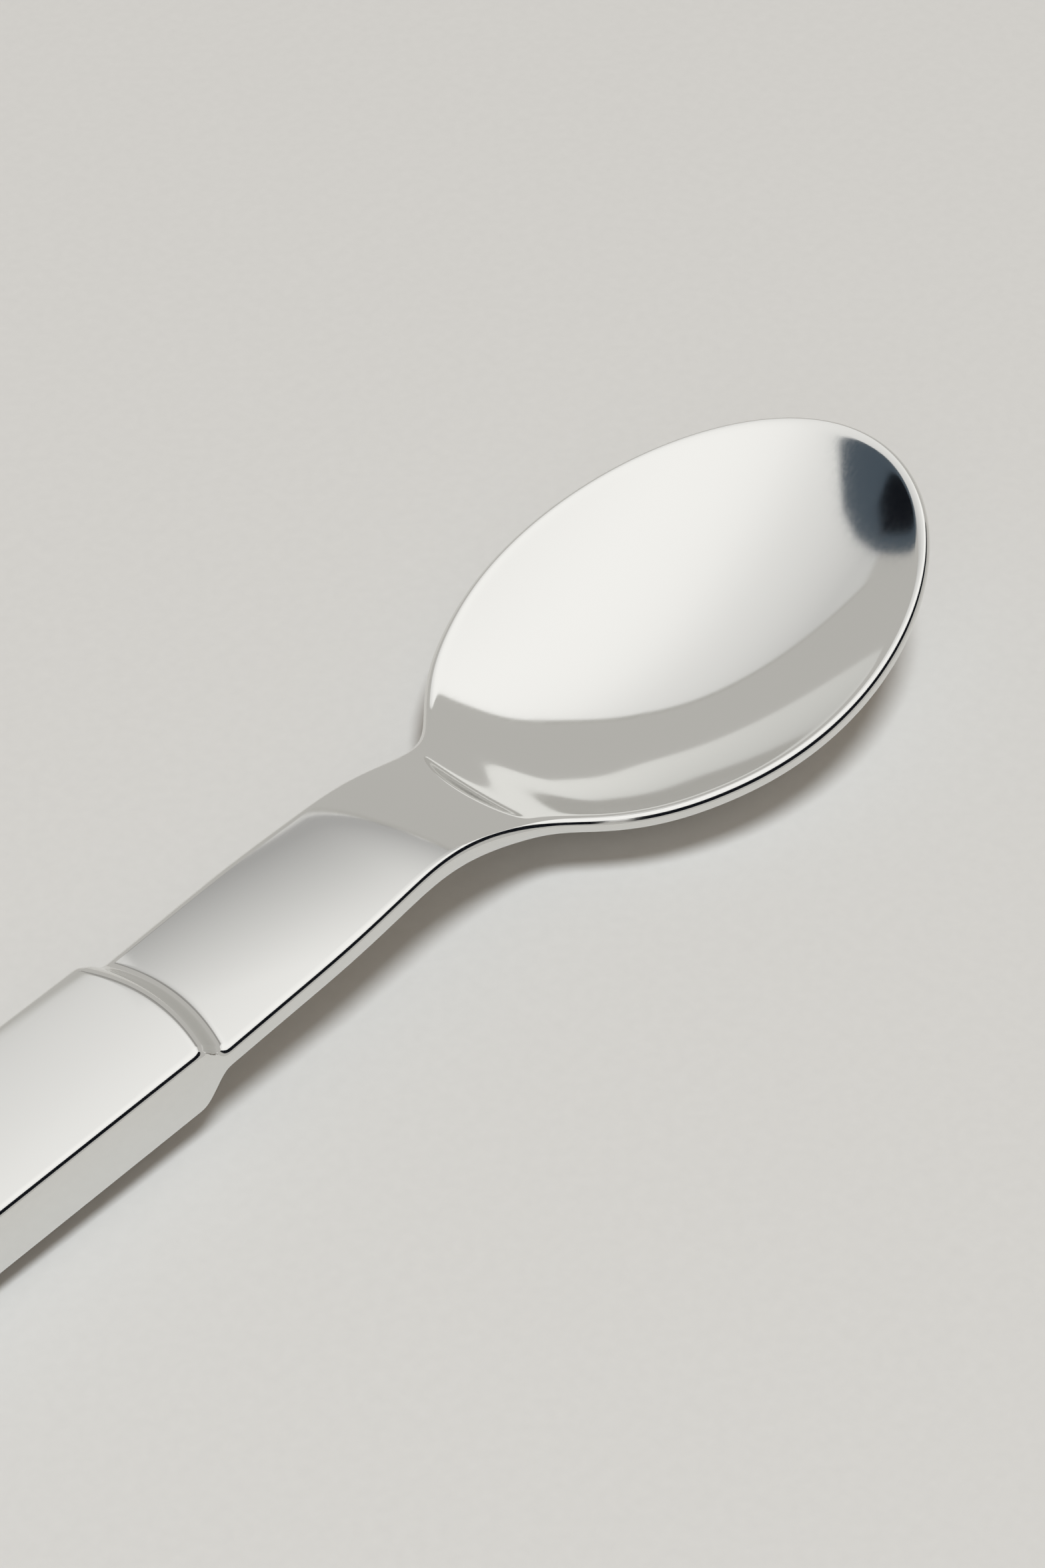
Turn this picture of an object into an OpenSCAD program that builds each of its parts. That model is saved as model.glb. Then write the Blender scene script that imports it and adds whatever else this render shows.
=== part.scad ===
// Dessert spoon: a forged bowl, neck and tang, carried in a hollow handle of two soldered shells.
// It is drawn along X, with the handle's underside at Z = 0 and the widest place of the bowl
// at X = 0, and then laid down so that it rests on the table on its bowl and its handle's end.

/* [Bowl] */
// Width of the bowl over its rim
bowl_w = 40; // [34:0.5:46]
// Length from the widest place to the tip
bowl_front = 28.6; // [25:0.2:33]
// Length from the widest place to the back of the bowl's oval
bowl_back = 27.3; // [24:0.1:31]
// How much slimmer the tip is than an oval
tip_taper = 0.06; // [0:0.01:0.2]
// Depth of the hollow under the rim
bowl_depth = 7.2; // [5.5:0.1:9]
// Thickness of the bowl's wall
bowl_wall = 1.5; // [1.2:0.1:2]
// Height of the rim at the widest place, over the handle's underside
rim_h = 3; // [2:0.1:5]
// Slope of the rim line at the widest place, in degrees
rim_slope = 7; // [4:0.5:10]
// How far the rim line has curved up at the tip
tip_lift = 1.6; // [0:0.1:3]
// Width of the flat land along the top of the rim
rim_flat = 0.3; // [0.2:0.05:0.8]
// How far the hollow reaches back past the oval, across the neck
hollow_reach = 3.7; // [2:0.1:5]
// Softness of the two corners where that reach leaves the rim
arc_blend = 4; // [2:0.1:6]
// Softness of the hollow's edge
hollow_edge = 2.4; // [1:0.1:3]

/* [Neck] */
// Length from the foot of the shoulder to the back of the bowl's oval
neck_l = 40.2; // [34:0.2:50]
// Width of the neck at its waist
waist_w = 13.3; // [11:0.1:15]
// Thickness of the neck at its sides
neck_t = 2.2; // [1.8:0.1:3]
// Height of the neck's upper edge at the shoulder, over the handle's underside
neck_h = 4.95; // [4.4:0.05:5.8]
// Climb of the neck from the shoulder, in degrees
neck_slope = 0.6; // [-1:0.1:4]
// Softness of the inner corner between neck and rim
corner_r = 9.2; // [6:0.1:11]

/* [Handle] */
// Length from the foot of the shoulder to the end of the handle
handle_l = 88.9; // [70:0.1:110]
// Width of the handle
handle_w = 15.4; // [13.6:0.1:18]
// Height of the handle at its sides
handle_t = 7.2; // [6.4:0.1:9]
// Rise of the crowned upper face over the sides
handle_crown = 0.25; // [0.1:0.05:1.2]
// Run of the rounded shoulder between handle and neck
shoulder_run = 4.4; // [2.4:0.1:6]
// How far the shoulder bows out towards the bowl at its middle
shoulder_bow = 1.5; // [0:0.1:3]
// Length of the solid bolster behind the shoulder
bolster_l = 6; // [4:0.5:12]
// Radius of the long upper edges
edge_r = 0.6; // [0.4:0.05:0.9]
// Radius of the long lower edges
low_r = 0.35; // [0.2:0.05:0.5]
// Radius of the handle end's corners, seen from above
butt_r = 3; // [1.5:0.1:5]
// Radius of the handle end's edges, seen from the side
butt_edge_r = 1.6; // [0.6:0.1:2.5]

/* [Hollow handle] */
// Wall of the two shells
shell_wall = 0.9; // [0.6:0.05:1.2]
// Height of the soldered seam between the shells
seam_h = 3.8; // [3:0.1:4.4]
// Length of the spigot that centres the shells
spigot_l = 4; // [3:0.5:8]
// Length of the tang beyond the spigot
tang_l = 42; // [25:1:50]
// Width of the tang
tang_w = 7; // [4:0.5:9]
// Thickness of the tang
tang_t = 2.6; // [1.5:0.1:3]
// Solder or cement gap between pieces inside the handle
fit_gap = 0.1; // [0.05:0.01:0.2]

/* [Hidden] */

steel = [0.77, 0.76, 0.74];
cement = [0.62, 0.58, 0.50];

// Stations along the spoon
x_shoulder = -bowl_back - neck_l;
x_bolster = x_shoulder - shoulder_run - bolster_l;
x_spigot = x_bolster - spigot_l;
x_tang = x_spigot - tang_l;
x_butt = x_shoulder - handle_l;

// Changes from neck to bowl: where each starts and ends, counted from the oval's back
drop_span = [-17.7, 7.3];
belly_span = [-12.7, 13.3];
crown_fade_span = [-8, 7];
arc_fade_span = [3.3, 15.3];
corner_fade_span = [6, 20];
drop_from = drop_span[0] - bowl_back;
drop_to = drop_span[1] - bowl_back;

// Where the neck starts to narrow after the shoulder, and reaches its waist before the oval's back
waist_start = 9.5;
waist_end = 4.7;
waist_from = x_shoulder + waist_start;
waist_to = -bowl_back - waist_end;

// Stretch with close stations about the hollow's edge on the neck
edge_margin = [2, 3];
edge_from = -bowl_back - hollow_reach - edge_margin[0];
edge_to = -bowl_back + edge_margin[1];

rim_inset = edge_r + rim_flat;
handle_half = handle_w / 2;
crown_k = handle_crown / pow(handle_half - edge_r, 2);
hollow_k = -bowl_depth / pow(bowl_w / 2 - rim_inset, 2);
belly_k = -bowl_depth / pow(bowl_w / 2 - low_r, 2);

// Cavity of the handle, and the tang at its middle height
cavity_half = handle_half - shell_wall;
cavity_top = handle_t - shell_wall;
tang_mid = (shell_wall + cavity_top) / 2;
// Radius of edges inside the handle
tang_r = 0.3;

// Kinds of section
TANG = 0;
SPIGOT = 1;
FORGED = 2;

// Counts of points
shoulder_n = 11;
neck_n = 7;
drop_n = 5;
edge_n = 9;
back_n = 10;
front_n = 13;
face_n = 8;
arc_n = 3;
corner_n = 6;
crown_n = 8;

// Share of the way to the tip at which the front's points leave the middle line
spine_share = 0.55;

function mix(a, b, s) = a + (b - a) * s;

// A change from 0 to 1 without a kink in slope or curvature
function ease(from, to, x) =
    let (u = min(max((x - from) / (to - from), 0), 1))
    u * u * u * (10 - 15 * u + 6 * u * u);
function past_back(span, x) = ease(span[0] - bowl_back, span[1] - bowl_back, x);

// The shoulder, bowed out towards the bowl at its middle
function shoulder(x, y) =
    let (foot = x_shoulder + shoulder_bow * (1 - pow(y / handle_half, 2)))
    1 - ease(foot - shoulder_run, foot, x);
function into_bowl(x) = past_back(drop_span, x);
function into_belly(x) = past_back(belly_span, x);

// Heights of the upper face, without its crown, and of the lower edge along the spoon
function neck_line(x) = neck_h + tan(neck_slope) * (x - x_shoulder);
function rim_line(x) = rim_h + tan(rim_slope) * x + tip_lift * pow(x / bowl_front, 2);
function edge_top(x, y = handle_half) =
    mix(mix(neck_line(x), handle_t, shoulder(x, y)), rim_line(x), into_bowl(x));
function edge_low(x) =
    mix(mix(neck_line(x) - neck_t, 0, shoulder(x, handle_half)),
        rim_line(x) - bowl_wall, into_bowl(x));

// Half width of the outline, squared, for an outline drawn inset inside the real one
function oval(x, inset) =
    let (u = x / ((x > 0 ? bowl_front : bowl_back) - inset), taper = x > 0 ? tip_taper : 0)
    pow(bowl_w / 2 - inset, 2) * (1 - u * u) * (1 - taper * u * u);
function bar(x, inset) =
    pow(mix(handle_half, waist_w / 2, ease(waist_from, waist_to, x)) - inset, 2);
function corner(x) =
    corner_r * corner_r * ease(x_shoulder, waist_to, x)
    * (1 - past_back(corner_fade_span, x));
function outline(x, inset) =
    x > 0 ? oval(x, inset)
    : let (o = oval(x, inset), b = bar(x, inset), c = corner(x))
      (o + b + sqrt((o - b) * (o - b) + c * c)) / 2;

// Half width of the hollow's edge, squared: it follows the rim and closes in an arc over the neck
function hollow_outline(x) =
    let (o = outline(x, rim_inset),
         a = bowl_back + hollow_reach,
         b = pow(bowl_w / 2 - rim_inset, 2) * (1 - x * x / (a * a)),
         c = arc_blend * arc_blend * (1 - past_back(arc_fade_span, x)))
    x > 0 ? o : (o + b - sqrt((o - b) * (o - b) + c * c)) / 2;
// Fall of the hollow below the blank's upper face
function hollow(x, y) =
    let (v = hollow_outline(x) - y * y)
    hollow_k * (v + sqrt(v * v + pow(hollow_edge, 4))) / 2;

// What changes from one kind of section to the next
function half_at(kind, x, inset) =
    kind == FORGED ? sqrt(max(outline(x, inset), 0))
    : (kind == SPIGOT ? cavity_half - fit_gap : tang_w / 2) - inset;
function top_at(kind, x, y) =
    kind == FORGED ? edge_top(x, y)
    : kind == SPIGOT ? cavity_top - fit_gap : tang_mid + tang_t / 2;
function low_at(kind, x) =
    kind == FORGED ? edge_low(x)
    : kind == SPIGOT ? shell_wall + fit_gap : tang_mid - tang_t / 2;
function top_k(kind, x) =
    kind == FORGED ? crown_k * (1 - past_back(crown_fade_span, x)) : 0;
function low_k(kind, x) = kind == FORGED ? belly_k * into_belly(x) : 0;
function top_r(kind) = kind == FORGED ? edge_r : tang_r;
function bottom_r(kind) = kind == FORGED ? low_r : tang_r;

// Slope of a face where it meets its rounded edge
function face_slope(k, half) = atan(2 * abs(k) * half);

// A place on the outline, set in, and a place on the way there from the middle line
function inset_x(x, inset) = x > 0 ? x * (bowl_front - inset) / bowl_front : x;
function spine_x(x) = x > 0 ? spine_share * x : x;
function on_outline(kind, x, inset) =
    let (xi = inset_x(x, inset)) [xi, half_at(kind, xi, inset)];
function between(x, p, share) = [mix(spine_x(x), p.x, share), p.y * share];

// Half of one section, from the middle of the upper face round the edge to the middle below
function half_section(kind, x) =
    let (
        r = top_r(kind),
        s = bottom_r(kind),
        slope_top = face_slope(top_k(kind, x), half_at(kind, x, r)),
        slope_low = face_slope(low_k(kind, x), half_at(kind, x, s)),
        arc_inset = r * (1 - sin(slope_top)),
        low_inset = s * (1 - sin(slope_low)),
        face_inset = arc_inset + rim_flat,
        p_top = on_outline(kind, x, face_inset),
        p_low = on_outline(kind, x, low_inset)
    )
    concat(
        [for (j = [0:face_n])
            let (p = between(x, p_top, j / face_n), h = outline_square(kind, p.x, arc_inset))
            [p.x, p.y, top_at(kind, p.x, p.y) + top_k(kind, p.x) * (h - p.y * p.y)
                + (kind == FORGED ? hollow(p.x, p.y) : 0)]],
        [for (j = [0:arc_n])
            let (a = mix(slope_top, 90, j / arc_n), p = on_outline(kind, x, r * (1 - sin(a))))
            [p.x, p.y, top_at(kind, p.x, handle_half) - r * (cos(slope_top) - cos(a))]],
        [for (j = [0:arc_n])
            let (a = mix(90, slope_low, j / arc_n), p = on_outline(kind, x, s * (1 - sin(a))))
            [p.x, p.y, low_at(kind, p.x) + s * (cos(slope_low) - cos(a))]],
        [for (j = [face_n - 1:-1:0])
            let (p = between(x, p_low, j / face_n), h = outline_square(kind, p.x, low_inset))
            [p.x, p.y, low_at(kind, p.x) + low_k(kind, p.x) * (h - p.y * p.y)]]
    );
function outline_square(kind, x, inset) =
    kind == FORGED ? outline(x, inset) : pow(half_at(kind, x, inset), 2);

// Stations from the tang's end to the tip of the bowl
function span(from, to, n) = [for (i = [1:n]) mix(from, to, i / n)];
forged_x = concat(
    [x_bolster, x_shoulder - shoulder_run],
    span(x_shoulder - shoulder_run, x_shoulder + shoulder_bow, shoulder_n),
    span(x_shoulder + shoulder_bow, drop_from, neck_n),
    span(drop_from, edge_from, drop_n),
    span(edge_from, edge_to, edge_n),
    span(edge_to, 0, back_n),
    [for (i = [1:front_n]) bowl_front * sin(90 * i / front_n)]
);
halves = concat(
    [half_section(TANG, x_tang), half_section(TANG, x_spigot)],
    [half_section(SPIGOT, x_spigot), half_section(SPIGOT, x_bolster)],
    [for (x = forged_x) half_section(FORGED, x)]
);

// The lowest line of the bowl gives the tilt at which the spoon rests
x_heel = x_butt + butt_edge_r;
half_last = len(halves[0]) - 1;
rest_tilt = max([for (h = halves) if (h[half_last].x > drop_to)
    atan2(-h[half_last].z, h[half_last].x - x_heel)]);

// Ends of the spoon as it lies, which put the middle of its length over the origin
butt_reach = (x_butt - x_heel) * cos(rest_tilt) - (handle_t - butt_edge_r) * sin(rest_tilt);
tip_reach = (bowl_front - x_heel) * cos(rest_tilt)
    - (edge_top(bowl_front) - bowl_wall + low_r) * sin(rest_tilt);
x_middle = (butt_reach + tip_reach) / 2;

module lay_down() {
    translate([-x_middle, 0, 0]) rotate([0, -rest_tilt, 0]) translate([-x_heel, 0, 0]) children();
}

// A closed skin over sections that are mirrored about the middle line and end in one at the tip
module mirrored_loft(halves) {
    n = len(halves);
    m = len(halves[0]);
    ring = 2 * m - 2;
    points = concat(
        [for (i = [0:n - 2]) each concat(
            halves[i],
            [for (j = [m - 2:-1:1]) [halves[i][j].x, -halves[i][j].y, halves[i][j].z]])],
        [for (p = halves[n - 1]) [p.x, 0, p.z]],
        [(halves[0][0] + halves[0][m - 1]) / 2]
    );
    cap = len(points) - 1;
    function at(i, j) =
        let (k = j % ring)
        i < n - 1 ? i * ring + k : (n - 1) * ring + (k < m ? k : ring - k);
    polyhedron(
        points,
        concat(
            [for (j = [0:ring - 1]) [cap, at(0, j), at(0, j + 1)]],
            [for (i = [0:n - 2]) for (j = [0:ring - 1]) each [
                [at(i, j), at(i + 1, j), at(i + 1, j + 1)],
                [at(i, j), at(i + 1, j + 1), at(i, j + 1)]]]
        )
    );
}

// Arc of a corner, from one angle to another about its centre
function arc(centre, r, from, to) =
    [for (i = [0:corner_n]) let (a = mix(from, to, i / corner_n)) centre + r * [cos(a), sin(a)]];

// Section of the handle, [Y, Z], flat below and crowned above; inset gives the cavity's wall
function handle_section(inset) =
    let (
        half = handle_half - inset,
        top = handle_t - inset,
        r = max(edge_r - inset, tang_r),
        s = max(low_r - inset, tang_r),
        slope = face_slope(crown_k, half - r),
        crown_half = half - r * (1 - sin(slope))
    )
    concat(
        arc([-half + s, inset + s], s, 180, 270),
        arc([half - s, inset + s], s, 270, 360),
        arc([half - r, top - r * cos(slope)], r, 0, 90 - slope),
        [for (i = [1:crown_n - 1]) let (y = mix(crown_half, -crown_half, i / crown_n))
            [y, top + crown_k * (crown_half * crown_half - y * y)]],
        arc([-half + r, top - r * cos(slope)], r, 90 + slope, 180)
    );

// The section run along X
module handle_bar(from, to, inset) {
    translate([from, 0, 0]) rotate([90, 0, 90]) linear_extrude(to - from)
        polygon(handle_section(inset));
}

// The end of the handle rounded in plan and from the side; inset draws the cavity's end
module rounded_end(inset) {
    r = max(butt_r - inset, tang_r);
    s = max(butt_edge_r - inset, tang_r);
    x = x_butt + inset;
    half = handle_half - inset;
    high = handle_t + handle_crown - inset;
    mouth = x_bolster + (inset > 0 ? 1 : 0);
    intersection() {
        translate([0, 0, -1]) linear_extrude(high + 2) polygon(concat(
            arc([x + r, -half + r], r, 270, 180),
            arc([x + r, half - r], r, 180, 90),
            [[mouth, half], [mouth, -half]]));
        translate([0, half + 1, 0]) rotate([90, 0, 0]) linear_extrude(2 * half + 2) polygon(concat(
            arc([x + s, inset + s], s, 270, 180),
            arc([x + s, high - s], s, 180, 90),
            [[mouth, high], [mouth, inset]]));
    }
}

// Both shells as one, before they are parted at the seam
module handle_case() {
    difference() {
        intersection() {
            handle_bar(x_butt, x_bolster, 0);
            rounded_end(0);
        }
        intersection() {
            handle_bar(x_butt, x_bolster + 1, shell_wall);
            rounded_end(shell_wall);
        }
    }
}

module seam_block(low, high) {
    translate([x_butt - 1, -handle_w, low]) cube([handle_l, 2 * handle_w, high - low]);
}

module bowl_and_neck() {
    color(steel) lay_down() mirrored_loft(halves);
}

module handle_upper_shell() {
    color(steel) lay_down() intersection() {
        handle_case();
        seam_block(seam_h, 2 * handle_t);
    }
}

module handle_lower_shell() {
    color(steel) lay_down() intersection() {
        handle_case();
        seam_block(-handle_t, seam_h);
    }
}

// Cement that fills the handle and holds the tang
module handle_filler() {
    inset = shell_wall + fit_gap;
    color(cement) lay_down() difference() {
        intersection() {
            handle_bar(x_butt, x_spigot - fit_gap, inset);
            rounded_end(inset);
        }
        translate([x_tang - fit_gap, -tang_w / 2 - fit_gap, tang_mid - tang_t / 2 - fit_gap])
            cube([tang_l + 1, tang_w + 2 * fit_gap, tang_t + 2 * fit_gap]);
    }
}

bowl_and_neck();
handle_upper_shell();
handle_lower_shell();
handle_filler();
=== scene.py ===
import math

import bmesh
import bpy
import numpy as np
from mathutils import Matrix, Vector


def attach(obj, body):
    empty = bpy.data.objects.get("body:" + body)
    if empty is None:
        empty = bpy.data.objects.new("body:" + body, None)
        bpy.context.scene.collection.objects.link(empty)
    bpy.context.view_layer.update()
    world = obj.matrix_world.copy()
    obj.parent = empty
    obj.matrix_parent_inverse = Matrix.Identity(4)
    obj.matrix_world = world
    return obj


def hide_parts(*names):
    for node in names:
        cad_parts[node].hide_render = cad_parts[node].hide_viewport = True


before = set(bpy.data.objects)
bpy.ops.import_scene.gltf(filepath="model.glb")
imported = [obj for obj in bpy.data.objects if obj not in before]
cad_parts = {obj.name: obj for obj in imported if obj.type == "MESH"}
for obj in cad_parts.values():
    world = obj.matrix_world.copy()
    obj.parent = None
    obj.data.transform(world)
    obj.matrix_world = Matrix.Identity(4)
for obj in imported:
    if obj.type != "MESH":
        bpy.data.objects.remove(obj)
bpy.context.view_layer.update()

# Metres in a millimetre
MM = 0.001

# Sizes of the spoon in millimetres, drawn along X with the handle's underside at Z = 0
# and the widest place of the bowl at X = 0
BOWL_W, BOWL_FRONT, BOWL_BACK, TIP_TAPER = 40.0, 28.6, 27.3, 0.06
BOWL_DEPTH, BOWL_WALL = 7.2, 1.5
RIM_H, RIM_SLOPE, TIP_LIFT, RIM_FLAT = 3.0, math.radians(7), 1.6, 0.3
HOLLOW_REACH, ARC_BLEND, HOLLOW_EDGE = 3.7, 4.0, 2.4
NECK_L, WAIST_W, NECK_T, NECK_H = 40.2, 13.3, 2.2, 4.95
NECK_SLOPE, CORNER_R = math.radians(2.8), 9.2
HANDLE_L, HANDLE_W, HANDLE_T, HANDLE_CROWN = 88.9, 15.4, 7.2, 0.45
SHOULDER_RUN, SHOULDER_BOW, BOLSTER_L = 4.4, 1.5, 6.0
EDGE_R, LOW_R = 0.6, 0.35
# A power of 2 would give a round upper edge; a lower one gives the flatter edge that polishing leaves
EDGE_POWER = 1.4
BUTT_R, BUTT_EDGE_R = 3.0, 1.6
SHELL_WALL, SEAM_H, FIT_GAP = 0.9, 3.8, 0.1
SPIGOT_L, TANG_L, TANG_W, TANG_T, TANG_R = 4.0, 42.0, 7.0, 2.6, 0.3

# Spans over which one form passes into the next, measured from the bowl's back end towards its tip
DROP_SPAN, BELLY_SPAN, CROWN_FADE_SPAN = (-17.7, 7.3), (-12.7, 13.3), (-8.0, 7.0)
ARC_FADE_SPAN, CORNER_FADE_SPAN = (3.3, 15.3), (6.0, 20.0)
# The waist starts this far after the shoulder and ends this far before the bowl
WAIST_START, WAIST_END = 9.5, 4.7

# Places along the spoon
X_SHOULDER = -BOWL_BACK - NECK_L
X_BOLSTER = X_SHOULDER - SHOULDER_RUN - BOLSTER_L
X_SPIGOT = X_BOLSTER - SPIGOT_L
X_TANG = X_SPIGOT - TANG_L
X_BUTT = X_SHOULDER - HANDLE_L
X_HEEL = X_BUTT + BUTT_EDGE_R
WAIST = (X_SHOULDER + WAIST_START, -BOWL_BACK - WAIST_END)

# Sizes that follow from the others. Each K is a height per square of the distance across
RIM_INSET = EDGE_R + RIM_FLAT
HANDLE_HALF = HANDLE_W / 2
CROWN_K = HANDLE_CROWN / (HANDLE_HALF - EDGE_R) ** 2
HOLLOW_K = -BOWL_DEPTH / (BOWL_W / 2 - RIM_INSET) ** 2
BELLY_K = -BOWL_DEPTH / (BOWL_W / 2 - LOW_R) ** 2
CAVITY_TOP = HANDLE_T - SHELL_WALL
TANG_MID = (SHELL_WALL + CAVITY_TOP) / 2

# Fineness of the meshes in millimetres and in steps, close enough for clean mirror reflections
STATION_STEP, FINE_STEP, SHOULDER_STEP, SHELL_STEP = 0.5, 0.2, 0.1, 2.0
FRONT_N, BELLY_N = 90, 2000
TOP_N, LOW_N, ARC_N, CROWN_N, BUTT_N = 56, 24, 12, 40, 14
# In front of the bowl's widest place the sections fan out from this share of their place along X
SPINE_SHARE = 0.55
# The finer stretch around the back edge of the hollow, with a margin on either side
FINE_MARGIN = (2.0, 3.0)
FINE_FROM = -BOWL_BACK - HOLLOW_REACH - FINE_MARGIN[0]
FINE_TO = -BOWL_BACK + FINE_MARGIN[1]
# Edges that turn by more than this are shaded as sharp ones
SHARP_ANGLE = math.radians(40)

# The photograph's camera in the handle's frame: millimetres, degrees and pixels
PHOTO_W, PHOTO_H = 1568, 2352
CAM_BEARING, CAM_ELEVATION, CAM_ROLL = 47.55, 45.0, 0.62
CAM_DISTANCE, CAM_FOCAL_PX = 403.9, 6405.6
RIM_CENTRE_PX = (1019.0, 930.2)
SENSOR_MM = 36.0
CLIP_START_M = 0.01


def mix(a, b, s):
    """A value a share s of the way from a to b."""
    return a + (b - a) * s


def ease(span, x):
    """A change from 0 to 1 over a span, without a kink in slope or curvature."""
    u = np.clip((x - span[0]) / (span[1] - span[0]), 0, 1)
    return u ** 3 * (10 - 15 * u + 6 * u * u)


def past_back(span, x):
    """The same kind of change over a span that is measured from the bowl's back end."""
    return ease((span[0] - BOWL_BACK, span[1] - BOWL_BACK), x)


def edge_heights(x, y=HANDLE_HALF):
    """Heights of the upper face, without its crown, and of the lower edge along the spoon."""
    foot = X_SHOULDER + SHOULDER_BOW * (1 - (y / HANDLE_HALF) ** 2)
    shoulder = 1 - ease((foot - SHOULDER_RUN, foot), x)
    neck = NECK_H + math.tan(NECK_SLOPE) * (x - X_SHOULDER)
    rim = RIM_H + math.tan(RIM_SLOPE) * x + TIP_LIFT * (x / BOWL_FRONT) ** 2
    into_bowl = past_back(DROP_SPAN, x)
    top = mix(mix(neck, HANDLE_T, shoulder), rim, into_bowl)
    low = mix(mix(neck - NECK_T, 0, shoulder), rim - BOWL_WALL, into_bowl)
    return top, low


def outline(x, inset):
    """Half width squared of the spoon seen from above, drawn inset inside the real outline."""
    front = x > 0
    u = x / (np.where(front, BOWL_FRONT, BOWL_BACK) - inset)
    oval = (BOWL_W / 2 - inset) ** 2 * (1 - u * u) * (1 - np.where(front, TIP_TAPER, 0) * u * u)
    bar = (mix(HANDLE_HALF, WAIST_W / 2, ease(WAIST, x)) - inset) ** 2
    soft = CORNER_R ** 2 * ease((X_SHOULDER, WAIST[1]), x) * (1 - past_back(CORNER_FADE_SPAN, x))
    return np.where(front, oval, (oval + bar + np.sqrt((oval - bar) ** 2 + soft ** 2)) / 2)


def hollow(x, y):
    """Height, below zero, that the bowl's hollow adds to the upper face."""
    rim = outline(x, RIM_INSET)
    arc = (BOWL_W / 2 - RIM_INSET) ** 2 * (1 - (x / (BOWL_BACK + HOLLOW_REACH)) ** 2)
    soft = ARC_BLEND ** 2 * (1 - past_back(ARC_FADE_SPAN, x))
    edge = np.where(x > 0, rim, (rim + arc - np.sqrt((rim - arc) ** 2 + soft ** 2)) / 2)
    inside = edge - y * y
    return HOLLOW_K * (inside + np.sqrt(inside ** 2 + HOLLOW_EDGE ** 4)) / 2


def upper_k(x):
    """Curvature of the upper face across the neck and handle."""
    return CROWN_K * (1 - past_back(CROWN_FADE_SPAN, x))


def lower_k(x):
    """Curvature of the lower face across the bowl's belly."""
    return BELLY_K * past_back(BELLY_SPAN, x)


def lower_face(x, y, inset):
    """Height of the lower face, which the belly deepens inside its edge."""
    return edge_heights(x)[1] + lower_k(x) * (outline(x, inset) - y * y)


def on_outline(x, inset):
    """Places on the inset outline that belong to stations x."""
    xi = np.where(x > 0, x * (BOWL_FRONT - inset) / BOWL_FRONT, x)
    return xi, np.sqrt(np.maximum(outline(xi, inset), 0))


def edge_round(a, slope):
    """How far the upper edge's rounding is set in and has dropped where it has turned to angle a."""
    bend = 2 / EDGE_POWER
    return EDGE_R * (1 - np.sin(a) ** bend), EDGE_R * (np.cos(slope) ** bend - np.cos(a) ** bend)


def forged_sections(x):
    """Half sections of the forging: middle of the upper face, round the edge, to the middle below."""
    spine = np.where(x > 0, SPINE_SHARE * x, x)
    slope_top = np.arctan(2 * upper_k(x) * np.sqrt(np.maximum(outline(x, EDGE_R), 0)))
    slope_low = np.arctan(2 * np.abs(lower_k(x)) * np.sqrt(np.maximum(outline(x, LOW_R), 0)))
    arc_inset = edge_round(slope_top, slope_top)[0]
    low_inset = LOW_R * (1 - np.sin(slope_low))
    columns = []
    face_x, face_y = on_outline(x, arc_inset + RIM_FLAT)
    for share in np.linspace(0, 1, TOP_N + 1):
        px, py = mix(spine, face_x, share), face_y * share
        crown = upper_k(px) * (outline(px, arc_inset) - py * py)
        columns.append((px, py, edge_heights(px, py)[0] + crown + hollow(px, py)))
    for share in np.linspace(0, 1, ARC_N + 1):
        a = mix(slope_top, math.pi / 2, share)
        inset, drop = edge_round(a, slope_top)
        px, py = on_outline(x, inset)
        columns.append((px, py, edge_heights(px)[0] - drop))
    for share in np.linspace(0, 1, ARC_N + 1):
        a = mix(math.pi / 2, slope_low, share)
        px, py = on_outline(x, LOW_R * (1 - np.sin(a)))
        columns.append((px, py, edge_heights(px)[1] + LOW_R * (np.cos(slope_low) - np.cos(a))))
    low_x, low_y = on_outline(x, low_inset)
    for share in np.linspace(1, 0, LOW_N + 1)[1:]:
        px, py = mix(spine, low_x, share), low_y * share
        columns.append((px, py, lower_face(px, py, low_inset)))
    return np.stack([np.stack(c, -1) for c in columns], 1)


def block_section(x, half, top, low):
    """Half section of a plain bar with softened edges, with as many points as a forged one."""
    face = np.linspace(0, 1, TOP_N + 1) * (half - TANG_R - RIM_FLAT)
    turn = np.linspace(0, math.pi / 2, ARC_N + 1)
    floor_y = np.linspace(1, 0, LOW_N + 1)[1:] * (half - TANG_R)
    y = np.concatenate([face, half - TANG_R * (1 - np.sin(turn)),
                        half - TANG_R * (1 - np.cos(turn)), floor_y])
    z = np.concatenate([np.full(face.size, top), top - TANG_R * (1 - np.cos(turn)),
                        low + TANG_R * (1 - np.sin(turn)), np.full(floor_y.size, low)])
    return np.stack([np.full(y.size, x), y, z], -1)


def rest_tilt():
    """Tilt at which the spoon rests on its bowl and on the heel of its handle."""
    belly = forged_sections(np.linspace(DROP_SPAN[1] - BOWL_BACK, BOWL_FRONT, BELLY_N))[:, -1]
    return float(np.max(np.arctan2(-belly[:, 2], belly[:, 0] - X_HEEL)))


def lay_down_matrix():
    """From the drawing frame in millimetres to the table in metres."""
    tilt = rest_tilt()
    c, s = math.cos(tilt), math.sin(tilt)
    tip_z = float(edge_heights(np.array(BOWL_FRONT))[0]) - BOWL_WALL + LOW_R
    butt_reach = (X_BUTT - X_HEEL) * c - (HANDLE_T - BUTT_EDGE_R) * s
    tip_reach = (BOWL_FRONT - X_HEEL) * c - tip_z * s
    middle = (butt_reach + tip_reach) / 2
    lay = Matrix.Translation((-middle, 0, 0)) @ Matrix.Rotation(-tilt, 4, "Y")
    return Matrix.Scale(MM, 4) @ lay @ Matrix.Translation((-X_HEEL, 0, 0))


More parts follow.
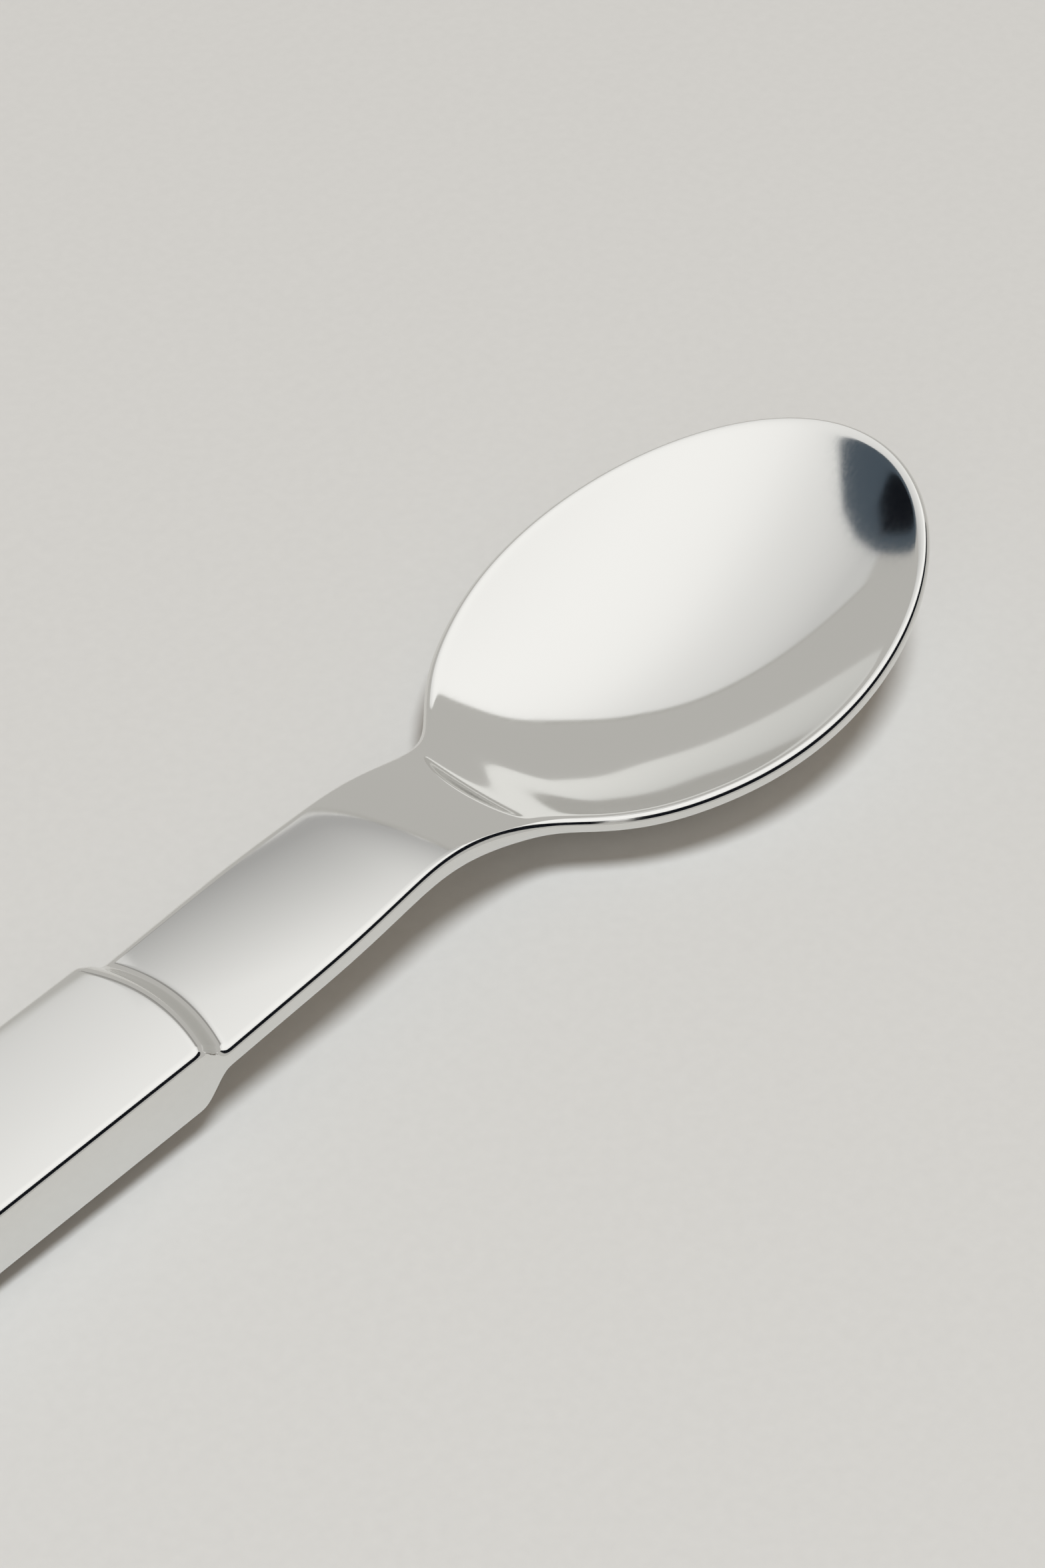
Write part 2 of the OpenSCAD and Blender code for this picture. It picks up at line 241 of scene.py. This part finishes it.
LAY = lay_down_matrix()


def new_piece(name, points, faces, node, material):
    """A smooth mesh piece on the table that stands for a node."""
    mesh = bpy.data.meshes.new(name)
    mesh.from_pydata([LAY @ Vector(p) for p in points], [], faces)
    bm = bmesh.new()
    bm.from_mesh(mesh)
    bmesh.ops.recalc_face_normals(bm, faces=bm.faces)
    bm.to_mesh(mesh)
    bm.free()
    mesh.shade_smooth()
    mesh.set_sharp_from_angle(angle=SHARP_ANGLE)
    mesh.materials.append(material)
    piece = bpy.data.objects.new(name, mesh)
    bpy.context.collection.objects.link(piece)
    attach(piece, "root")
    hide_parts(node)
    return piece


def steps(start, end, step):
    """Even places after start up to end."""
    n = max(1, round(abs(end - start) / step))
    return start + (end - start) * np.arange(1, n + 1) / n


def bowl_and_neck(material):
    """The forging, as sections mirrored about the middle line that close at the tip."""
    x = np.concatenate([
        [X_BOLSTER], steps(X_BOLSTER, X_SHOULDER - SHOULDER_RUN, STATION_STEP),
        steps(X_SHOULDER - SHOULDER_RUN, X_SHOULDER + SHOULDER_BOW, SHOULDER_STEP),
        steps(X_SHOULDER + SHOULDER_BOW, FINE_FROM, STATION_STEP),
        steps(FINE_FROM, FINE_TO, FINE_STEP),
        steps(FINE_TO, 0, STATION_STEP),
        BOWL_FRONT * np.sin(np.linspace(0, math.pi / 2, FRONT_N + 1)[1:])])
    spigot_half = HANDLE_HALF - SHELL_WALL - FIT_GAP
    spigot = spigot_half, CAVITY_TOP - FIT_GAP, SHELL_WALL + FIT_GAP
    tang = TANG_W / 2, TANG_MID + TANG_T / 2, TANG_MID - TANG_T / 2
    inner = [block_section(X_TANG, *tang), block_section(X_SPIGOT, *tang),
             block_section(X_SPIGOT, *spigot), block_section(X_BOLSTER, *spigot)]
    halves = np.concatenate([np.stack(inner), forged_sections(x)])
    n, m = halves.shape[:2]
    mirrored = halves[:, m - 2:0:-1] * (1, -1, 1)
    rings = np.concatenate([halves, mirrored], 1)
    ring = rings.shape[1]
    tip = halves[-1] * (1, 0, 1)
    cap = (halves[0, 0] + halves[0, -1]) / 2
    points = np.concatenate([rings[:-1].reshape(-1, 3), tip, cap[None]])
    last = len(points) - 1

    def at(i, j):
        """Number of point j in ring i, where the last ring is folded into one line at the tip."""
        k = j % ring
        return i * ring + k if i < n - 1 else (n - 1) * ring + (k if k < m else ring - k)

    faces = [(last, at(0, j), at(0, j + 1)) for j in range(ring)]
    faces += [(at(i, j), at(i + 1, j), at(i + 1, j + 1), at(i, j + 1))
              for i in range(n - 1) for j in range(ring)]
    new_piece("forged_bowl_and_neck", points, faces, "bowl_and_neck", material)


def rounded_inset(distance, radius):
    """How far a rounded end has drawn in at a distance from its end face."""
    d = np.minimum(distance, radius)
    return radius - np.sqrt(radius ** 2 - (radius - d) ** 2)


def shell_skin(upper):
    """Outer skin of one half shell, section by section from its mouth to the handle's end."""
    reach = BUTT_R * (1 - np.cos(np.linspace(0, math.pi / 2, BUTT_N)))
    straight = steps(X_BOLSTER, X_BUTT + BUTT_R, SHELL_STEP)
    x = np.concatenate([[X_BOLSTER], straight, X_BUTT + reach[::-1][1:]])
    slope = math.atan(2 * CROWN_K * (HANDLE_HALF - EDGE_R))
    rows = []
    for station in x:
        half = HANDLE_HALF - float(rounded_inset(station - X_BUTT, BUTT_R))
        lift = float(rounded_inset(station - X_BUTT, BUTT_EDGE_R))
        if upper:
            turn = np.linspace(math.pi / 2, slope, ARC_N + 1)
            inset, drop = edge_round(turn, slope)
            flat = half - inset[-1]
            face = np.linspace(flat, 0, CROWN_N)[1:]
            crown_z = HANDLE_T - lift + CROWN_K * (flat * flat - face ** 2)
            y = np.concatenate([[half], half - inset, face])
            z = np.concatenate([[SEAM_H], HANDLE_T - lift - drop, crown_z])
        else:
            turn = np.linspace(math.pi / 2, 0, ARC_N + 1)
            face = np.linspace(half - LOW_R, 0, CROWN_N)[1:]
            y = np.concatenate([[half], half - LOW_R * (1 - np.sin(turn)), face])
            z = np.concatenate([[SEAM_H], lift + LOW_R * (1 - np.cos(turn)), np.full(face.size, lift)])
        y, z = np.concatenate([y, -y[-2::-1]]), np.concatenate([z, z[-2::-1]])
        rows.append(np.stack([np.full(y.size, station), y, z], -1))
    return np.stack(rows)


def point_outwards(mesh, upper):
    """Turns the skin's faces so that its crown or underside faces away from the handle's middle."""
    level = max(mesh.polygons, key=lambda face: abs(face.normal.z))
    if (level.normal.z > 0) != upper:
        mesh.flip_normals()


def handle_shell(name, upper, node, material):
    """A stamped half shell: its outer skin thickened inwards by the wall."""
    rows = shell_skin(upper)
    n, m = rows.shape[:2]
    faces = [(i * m + j, i * m + j + 1, (i + 1) * m + j + 1, (i + 1) * m + j)
             for i in range(n - 1) for j in range(m - 1)]
    faces.append(tuple((n - 1) * m + j for j in range(m)))
    piece = new_piece(name, rows.reshape(-1, 3), faces, node, material)
    point_outwards(piece.data, upper)
    wall = piece.modifiers.new("wall", "SOLIDIFY")
    wall.thickness = SHELL_WALL * MM
    wall.offset = -1
    wall.use_even_offset = True
    depsgraph = bpy.context.evaluated_depsgraph_get()
    thick = bpy.data.meshes.new_from_object(piece.evaluated_get(depsgraph))
    piece.modifiers.clear()
    piece.data = thick
    thick.set_sharp_from_angle(angle=SHARP_ANGLE)


def linear(hex_colour):
    """An sRGB hex colour as linear RGBA."""
    values = [int(hex_colour[i:i + 2], 16) / 255 for i in (1, 3, 5)]
    return [v / 12.92 if v <= 0.04045 else ((v + 0.055) / 1.055) ** 2.4 for v in values] + [1.0]


def add_node(tree, kind, settings=None, inputs=None, links=None):
    """Adds a node with its settings, socket values and incoming links."""
    node = tree.nodes.new(kind)
    for key, value in (settings or {}).items():
        setattr(node, key, value)
    for key, value in (inputs or {}).items():
        node.inputs[key].default_value = value
    for key, source in (links or {}).items():
        tree.links.new(source, node.inputs[key])
    return node


# Colour sockets of a mix node, which share their names with its other sockets
MIX_A, MIX_B, MIX_RESULT = 6, 7, 2


def new_material(name):
    """An empty node material and its tree."""
    material = bpy.data.materials.new(name)
    material.use_nodes = True
    material.node_tree.nodes.clear()
    return material, material.node_tree


# Spacing of the buffing marks across and along them, and their depth, in millimetres; the real marks are
# finer still
POLISH_LINE, POLISH_LENGTH, POLISH_RELIEF = 0.35, 9.0, 0.02
# Colour of the steel, and its roughness where it is smoothest and where the marks dull it most
STEEL_COLOUR, STEEL_SMOOTHEST, STEEL_DULLEST = "#E8E8E6", 0.05, 0.11


def polished_stainless_steel():
    """Stainless steel buffed to a mirror: clear reflections, a touch soft from the buffing marks."""
    material, tree = new_material("mirror_polished_stainless_steel")
    place = add_node(tree, "ShaderNodeTexCoord")
    stretch = (1 / (POLISH_LENGTH * MM), 1 / (POLISH_LINE * MM), 1 / (POLISH_LINE * MM))
    along = add_node(tree, "ShaderNodeMapping", inputs={"Scale": stretch},
                     links={"Vector": place.outputs["Object"]})
    marks = add_node(tree, "ShaderNodeTexNoise", inputs={"Scale": 1.0, "Detail": 3.0, "Roughness": 0.6},
                     links={"Vector": along.outputs["Vector"]})
    gloss = add_node(tree, "ShaderNodeMapRange",
                     inputs={"To Min": STEEL_SMOOTHEST, "To Max": STEEL_DULLEST},
                     links={"Value": marks.outputs["Fac"]})
    relief = add_node(tree, "ShaderNodeBump", inputs={"Strength": 0.02, "Distance": POLISH_RELIEF * MM},
                      links={"Height": marks.outputs["Fac"]})
    metal = add_node(tree, "ShaderNodeBsdfPrincipled",
                     inputs={"Base Color": linear(STEEL_COLOUR), "Metallic": 1.0},
                     links={"Roughness": gloss.outputs["Result"], "Normal": relief.outputs["Normal"]})
    add_node(tree, "ShaderNodeOutputMaterial", links={"Surface": metal.outputs["BSDF"]})
    return material


# Width and depth of the set cement's grain, in millimetres
CEMENT_GRAIN, CEMENT_RELIEF = 0.8, 0.1
CEMENT_DARK, CEMENT_PALE = "#8C8474", "#BDB5A3"


def set_cement():
    """Grey-buff cement, cast and left as it set: dull, with a sandy grain."""
    material, tree = new_material("cast_cement")
    place = add_node(tree, "ShaderNodeTexCoord")
    grain = add_node(tree, "ShaderNodeTexNoise", inputs={"Scale": 1 / (CEMENT_GRAIN * MM), "Detail": 4.0},
                     links={"Vector": place.outputs["Object"]})
    tone = add_node(tree, "ShaderNodeMix", settings={"data_type": "RGBA"},
                    inputs={MIX_A: linear(CEMENT_DARK), MIX_B: linear(CEMENT_PALE)},
                    links={"Factor": grain.outputs["Fac"]})
    relief = add_node(tree, "ShaderNodeBump", inputs={"Strength": 0.4, "Distance": CEMENT_RELIEF * MM},
                      links={"Height": grain.outputs["Fac"]})
    body = add_node(tree, "ShaderNodeBsdfPrincipled", inputs={"Roughness": 0.9},
                    links={"Base Color": tone.outputs[MIX_RESULT], "Normal": relief.outputs["Normal"]})
    add_node(tree, "ShaderNodeOutputMaterial", links={"Surface": body.outputs["BSDF"]})
    return material


# Studio: cards overhead that only the steel mirrors, and two lamps for the table that it doesn't mirror.
# A card's corners are bearings to the right of the viewing direction and angles from the zenith, in
# degrees, as seen from the table under the bowl. Heights are in metres
SOFTBOX_HEIGHT, VEIL_HEIGHT, FLAG_HEIGHT, GAUZE_HEIGHT = 0.9, 0.85, 0.8, 0.04
SOFTBOX_FRONT = [(-46, 61), (-25, 52), (0, 48), (25, 53), (45, 64)]
SOFTBOX_BACK = [(90, 66), (125, 62), (180, 55), (-150, 50), (-125, 48), (-93, 50), (-65, 54)]
FRAME_FRONT = [(-46, 62.3), (-25, 53.7), (0, 49.8), (25, 54.7), (45, 65.3)]
LEFT_VEIL = [(-46, 69), (-53, 57), (-61, 48), (-73, 40), (-94, 34), (-125, 32),
             (-130, 73), (-90, 73), (-46, 73)]
LEFT_FLAG = [(-50, 66), (-57, 55), (-66, 49), (-78, 46), (-92, 47), (-99, 58), (-99, 71), (-50, 71)]
NEAR_FLAG = [(50, 62), (75, 54), (95, 51), (115, 48), (140, 46), (165, 46),
             (165, 73), (110, 73), (80, 73), (50, 73)]
NECK_GAUZE = [(-93, 59), (-83.5, 47.3), (-82.5, 39), (-81.5, 23.3), (0, 6.4), (180, 37), (-120.5, 56)]
CLOTH_WHITE, CLOTH_GREY, CLOTH_BLACK, FRAME_GREY = "#FFFEFC", "#4A555F", "#0B0E14", "#B9B7B2"
# Glow of the softbox at angles from the zenith along one bearing, where it dims towards the left
GLOW_BEARING = -60
GLOW = [(-52, 0.95), (-26, 1.08), (-10, 1.08), (5, 1.04), (17, 0.96), (26, 0.89), (37, 0.82),
        (47, 0.74), (54, 0.66)]
GLOW_PEAK = max(glow for angle, glow in GLOW)
# Places along the viewing direction where the gauze is still clear and where it is densest, in metres
# from the middle of the bowl, and the share of the light that it passes there
GAUZE_CLEAR, GAUZE_DENSE, GAUZE_PASSES = -0.03, 0.0, 0.55
# The pale room as the steel mirrors it, and the dimmer, warmer light that it gives the paper
ROOM_WALL, ROOM_SHADE = "#C2C0BC", "#7E705E"
LAMP_WHITE = "#F3FAFF"
# A far lamp with its energy in watts per square metre and its spread in degrees, and a panel close by
# with its energy in watts and its size in metres
KEY_LAMP = {"bearing": 150, "zenith": 12, "height": 1.0, "energy": 2.2, "spread": 18}
FILL_LAMP = {"bearing": -172, "zenith": 50, "height": 0.3, "energy": 0.2, "size": 0.3}


def towards(bearing):
    """Level direction at a bearing to the right of the viewing direction."""
    turn = math.radians(CAM_BEARING + bearing)
    return Vector((math.sin(turn), math.cos(turn), 0))


def overhead(bearing, zenith, height):
    """Place at a height that is seen from the table at a bearing and an angle from the zenith."""
    return height * (math.tan(math.radians(zenith)) * towards(bearing) + Vector((0, 0, 1)))


def studio_card(name, corners, height, over, material):
    """A flat card overhead that is only seen in the steel, where it lights or darkens reflections."""
    mesh = bpy.data.meshes.new(name)
    points = [overhead(bearing, zenith, height) for bearing, zenith in corners]
    mesh.from_pydata(points, [], [tuple(range(len(points)))])
    mesh.materials.append(material)
    card = bpy.data.objects.new(name, mesh)
    card.location = over
    card.visible_camera = False
    card.visible_diffuse = False
    card.visible_shadow = False
    bpy.context.collection.objects.link(card)


def softbox_cloth():
    """Lit white cloth, brightest overhead and dimmer towards the left."""
    material, tree = new_material("lit_white_cloth")
    place = add_node(tree, "ShaderNodeTexCoord")
    along = add_node(tree, "ShaderNodeVectorMath", settings={"operation": "DOT_PRODUCT"},
                     inputs={1: towards(GLOW_BEARING)}, links={0: place.outputs["Object"]})
    places = [SOFTBOX_HEIGHT * math.tan(math.radians(angle)) for angle, glow in GLOW]
    share = add_node(tree, "ShaderNodeMapRange", inputs={"From Min": places[0], "From Max": places[-1]},
                     links={"Value": along.outputs["Value"]})
    fall = add_node(tree, "ShaderNodeFloatCurve", links={"Value": share.outputs["Result"]})
    curve = fall.mapping.curves[0]
    curve.points[0].location = (0, GLOW[0][1] / GLOW_PEAK)
    curve.points[-1].location = (1, GLOW[-1][1] / GLOW_PEAK)
    for spot, (angle, glow) in list(zip(places, GLOW))[1:-1]:
        curve.points.new((spot - places[0]) / (places[-1] - places[0]), glow / GLOW_PEAK)
    fall.mapping.update()
    strength = add_node(tree, "ShaderNodeMath", settings={"operation": "MULTIPLY"},
                        inputs={1: GLOW_PEAK}, links={0: fall.outputs["Value"]})
    light = add_node(tree, "ShaderNodeEmission", inputs={"Color": linear(CLOTH_WHITE)},
                     links={"Strength": strength.outputs["Value"]})
    add_node(tree, "ShaderNodeOutputMaterial", links={"Surface": light.outputs["Emission"]})
    return material


def dull_cloth(colour):
    """Dull cloth of one even tone, for the flags that draw the steel's edges and the softbox's frame."""
    material, tree = new_material("dull_flag_cloth")
    tone = add_node(tree, "ShaderNodeEmission", inputs={"Color": linear(colour), "Strength": 1.0})
    add_node(tree, "ShaderNodeOutputMaterial", links={"Surface": tone.outputs["Emission"]})
    return material


def grey_gauze():
    """Fine grey gauze that shades the neck's reflection, more so away from the viewer."""
    material, tree = new_material("grey_gauze")
    place = add_node(tree, "ShaderNodeTexCoord")
    along = add_node(tree, "ShaderNodeVectorMath", settings={"operation": "DOT_PRODUCT"},
                     inputs={1: towards(0)}, links={0: place.outputs["Object"]})
    passes = add_node(tree, "ShaderNodeMapRange",
                      inputs={"From Min": GAUZE_CLEAR, "From Max": GAUZE_DENSE,
                              "To Min": 1.0, "To Max": GAUZE_PASSES},
                      links={"Value": along.outputs["Value"]})
    weave = add_node(tree, "ShaderNodeBsdfTransparent", links={"Color": passes.outputs["Result"]})
    add_node(tree, "ShaderNodeOutputMaterial", links={"Surface": weave.outputs["BSDF"]})
    return material


def hang_lamp(name, data, lamp, over):
    """Hangs a lamp that lights the table and isn't mirrored in the steel."""
    data.energy = lamp["energy"]
    data.color = linear(LAMP_WHITE)[:3]
    light = bpy.data.objects.new(name, data)
    light.location = over + overhead(lamp["bearing"], lamp["zenith"], lamp["height"])
    light.rotation_euler = (over - light.location).to_track_quat("-Z", "Y").to_euler()
    light.visible_camera = False
    light.visible_glossy = False
    bpy.context.collection.objects.link(light)


def far_lamp(over):
    """A far, soft lamp almost overhead that lights the whole table and draws the short shadow."""
    data = bpy.data.lights.new("key_lamp", "SUN")
    data.angle = math.radians(KEY_LAMP["spread"])
    hang_lamp("key_lamp", data, KEY_LAMP, over)


def panel_lamp(over):
    """A small panel on the viewer's side that lifts the near part of the table."""
    data = bpy.data.lights.new("fill_lamp", "AREA")
    data.size = FILL_LAMP["size"]
    hang_lamp("fill_lamp", data, FILL_LAMP, over)


def pale_room():
    """The room around the table: pale in the steel, dimmer and warmer in the light on the paper."""
    world = bpy.data.worlds.new("pale_room")
    world.use_nodes = True
    tree = world.node_tree
    ray = add_node(tree, "ShaderNodeLightPath")
    tone = add_node(tree, "ShaderNodeMix", settings={"data_type": "RGBA"},
                    inputs={MIX_A: linear(ROOM_WALL), MIX_B: linear(ROOM_SHADE)},
                    links={"Factor": ray.outputs["Is Diffuse Ray"]})
    tree.links.new(tone.outputs[MIX_RESULT], tree.nodes["Background"].inputs["Color"])
    # Not sampled as a lamp, so that each ray that reaches the room gets the tone for its own kind
    world.cycles.sampling_method = "NONE"
    bpy.context.scene.world = world


# Side of the table in metres, and the width of its paper's tooth in millimetres
TABLE_SIDE, PAPER_TOOTH = 6.0, 1.2
PAPER_DARK, PAPER_PALE = "#DCDAD7", "#E2E0DD"


def matt_paper():
    """Uncoated pale grey paper: matt, with a faint tooth."""
    material, tree = new_material("matt_grey_paper")
    place = add_node(tree, "ShaderNodeTexCoord")
    tooth = add_node(tree, "ShaderNodeTexNoise", inputs={"Scale": 1 / (PAPER_TOOTH * MM), "Detail": 3.0},
                     links={"Vector": place.outputs["Object"]})
    tone = add_node(tree, "ShaderNodeMix", settings={"data_type": "RGBA"},
                    inputs={MIX_A: linear(PAPER_DARK), MIX_B: linear(PAPER_PALE)},
                    links={"Factor": tooth.outputs["Fac"]})
    sheet = add_node(tree, "ShaderNodeBsdfPrincipled", inputs={"Roughness": 0.8, "Specular IOR Level": 0.2},
                     links={"Base Color": tone.outputs[MIX_RESULT]})
    add_node(tree, "ShaderNodeOutputMaterial", links={"Surface": sheet.outputs["BSDF"]})
    return material


def table():
    """A wide sheet of paper under the spoon."""
    mesh = bpy.data.meshes.new("table")
    half = TABLE_SIDE / 2
    corners = [(-half, -half, 0), (half, -half, 0), (half, half, 0), (-half, half, 0)]
    mesh.from_pydata(corners, [], [(0, 1, 2, 3)])
    mesh.materials.append(matt_paper())
    floor = bpy.data.objects.new("table", mesh)
    bpy.context.collection.objects.link(floor)


def photo_camera():
    """The photograph's camera, set up in the handle's frame and laid down with the spoon."""
    elevation, roll = math.radians(CAM_ELEVATION), math.radians(CAM_ROLL)
    flat_right = towards(90)
    forward = math.cos(elevation) * towards(0) - Vector((0, 0, math.sin(elevation)))
    flat_down = forward.cross(flat_right)
    right = math.cos(roll) * flat_right + math.sin(roll) * flat_down
    down = math.cos(roll) * flat_down - math.sin(roll) * flat_right
    across = (RIM_CENTRE_PX[0] - PHOTO_W / 2) / CAM_FOCAL_PX
    below = (RIM_CENTRE_PX[1] - PHOTO_H / 2) / CAM_FOCAL_PX
    centre = Vector((0, 0, RIM_H)) - CAM_DISTANCE * (forward + across * right + below * down)
    axes = Matrix((right, -down, -forward)).transposed().to_4x4()
    place = LAY @ Matrix.Translation(centre) @ axes
    data = bpy.data.cameras.new("photo_camera")
    data.sensor_fit = "VERTICAL"
    data.sensor_height = SENSOR_MM
    data.lens = SENSOR_MM * CAM_FOCAL_PX / PHOTO_H
    data.clip_start = CLIP_START_M
    camera = bpy.data.objects.new("photo_camera", data)
    bpy.context.collection.objects.link(camera)
    turn = place.to_3x3().normalized().to_quaternion()
    camera.matrix_world = Matrix.LocRotScale(place.translation, turn, None)
    bpy.context.scene.camera = camera


def studio():
    """Cards, lamps and room, set around the table under the bowl."""
    over = LAY @ Vector((0, 0, RIM_H))
    over.z = 0
    frame_strip = SOFTBOX_FRONT + FRAME_FRONT[::-1]
    studio_card("softbox", SOFTBOX_FRONT + SOFTBOX_BACK, SOFTBOX_HEIGHT, over, softbox_cloth())
    studio_card("softbox_frame", frame_strip, SOFTBOX_HEIGHT, over, dull_cloth(FRAME_GREY))
    studio_card("left_veil", LEFT_VEIL, VEIL_HEIGHT, over, dull_cloth(CLOTH_GREY))
    studio_card("left_flag", LEFT_FLAG, FLAG_HEIGHT, over, dull_cloth(CLOTH_BLACK))
    studio_card("near_flag", NEAR_FLAG, FLAG_HEIGHT, over, dull_cloth(CLOTH_BLACK))
    studio_card("neck_gauze", NECK_GAUZE, GAUZE_HEIGHT, over, grey_gauze())
    far_lamp(over)
    panel_lamp(over)
    pale_room()
    bpy.context.scene.view_settings.view_transform = "Standard"


photo_camera()
table()
studio()
steel = polished_stainless_steel()
bowl_and_neck(steel)
handle_shell("upper_handle_shell", True, "handle_upper_shell", steel)
handle_shell("lower_handle_shell", False, "handle_lower_shell", steel)
filler_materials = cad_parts["handle_filler"].data.materials
filler_materials.clear()
filler_materials.append(set_cement())
